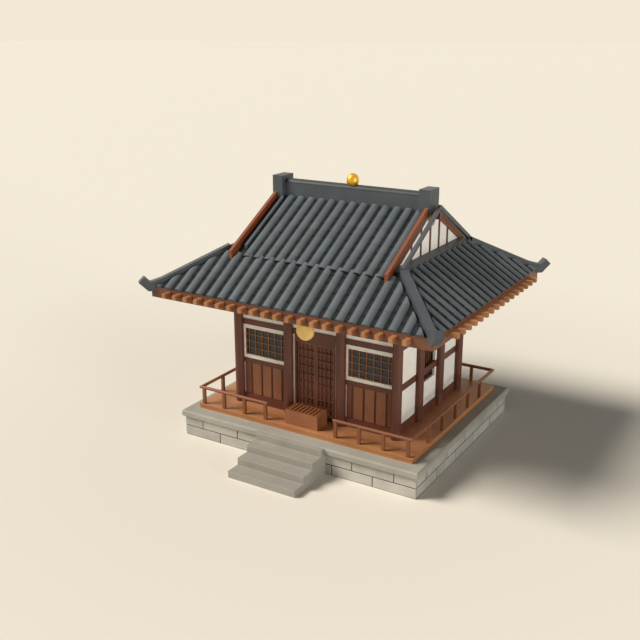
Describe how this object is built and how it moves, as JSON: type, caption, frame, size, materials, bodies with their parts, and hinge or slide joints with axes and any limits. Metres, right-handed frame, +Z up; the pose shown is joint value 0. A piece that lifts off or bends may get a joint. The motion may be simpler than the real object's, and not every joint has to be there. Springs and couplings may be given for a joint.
{
  "type": "temple hall",
  "caption": "Small wooden temple hall on a stone platform, with a veranda, lattice doors, a hanging gong and a hip-and-gable tiled roof.",
  "frame": {"origin": "on the ground, under the middle of the hall", "axes": "the front with the steps and doors faces -Y, +X is to the right seen from the front, +Z is up"},
  "size_m": [9.9012, 9.4806, 8.1901],
  "materials": {
    "stone": "matte",
    "deck_timber": "satin",
    "painted_timber": "satin",
    "panel_timber": "satin",
    "eave_timber": "satin",
    "gable_timber": "satin",
    "plaster": "matte",
    "roof_tile": "satin",
    "glass": "gloss",
    "gilt": "satin",
    "iron": "matte"
  },
  "bodies": {
    "hall": {"stone_base": "stone", "stone_cap": "stone", "stone_steps": "stone", "deck_frame": "deck_timber", "deck_floor": "deck_timber", "columns": "painted_timber", "sill_beams": "painted_timber", "middle_beams": "painted_timber", "head_beams": "painted_timber", "wall_plates": "painted_timber", "door_frame": "painted_timber", "window_frames": "painted_timber", "side_window_rails": "painted_timber", "roof_frame": "painted_timber", "bargeboards": "painted_timber", "railing_front": "painted_timber", "railing_right": "painted_timber", "railing_rear": "painted_timber", "railing_left": "painted_timber", "dado_panels": "panel_timber", "offering_box": "panel_timber", "fascia": "eave_timber", "rafters": "eave_timber", "hip_rafters": "eave_timber", "eave_soffits": "eave_timber", "front_wall_left": "plaster", "front_wall_right": "plaster", "front_wall_door": "plaster", "left_wall": "plaster", "right_wall": "plaster", "rear_wall": "plaster", "gable_walls": "plaster", "skirt_roof": "roof_tile", "upper_roof": "roof_tile", "hip_ridges": "roof_tile", "ridge_beam": "roof_tile", "ridge_ends": "roof_tile", "verge_bars": "roof_tile", "window_glass": "glass", "finial": "gilt", "gong_hanger": "iron", "gable_trim": "gable_timber"},
    "left_door": {"door_leaf_left": "painted_timber"},
    "right_door": {"door_leaf_right": "painted_timber"},
    "gong": {"gong": "gilt"}
  },
  "joints": [
    {"name": "left_door_hinge", "type": "hinge", "parent": "hall", "child": "left_door", "pos_m": [-0.627, -2.1075, 1], "axis": [0, 0, 1], "range_deg": [0, 90]},
    {"name": "right_door_hinge", "type": "hinge", "parent": "hall", "child": "right_door", "pos_m": [0.627, -2.1075, 1], "axis": [0, 0, -1], "range_deg": [0, 90]},
    {"name": "gong_swing", "type": "hinge", "parent": "hall", "child": "gong", "pos_m": [0, -2.73, 4.345], "axis": [1, 0, 0], "range_deg": [-15, 15]}
  ]
}
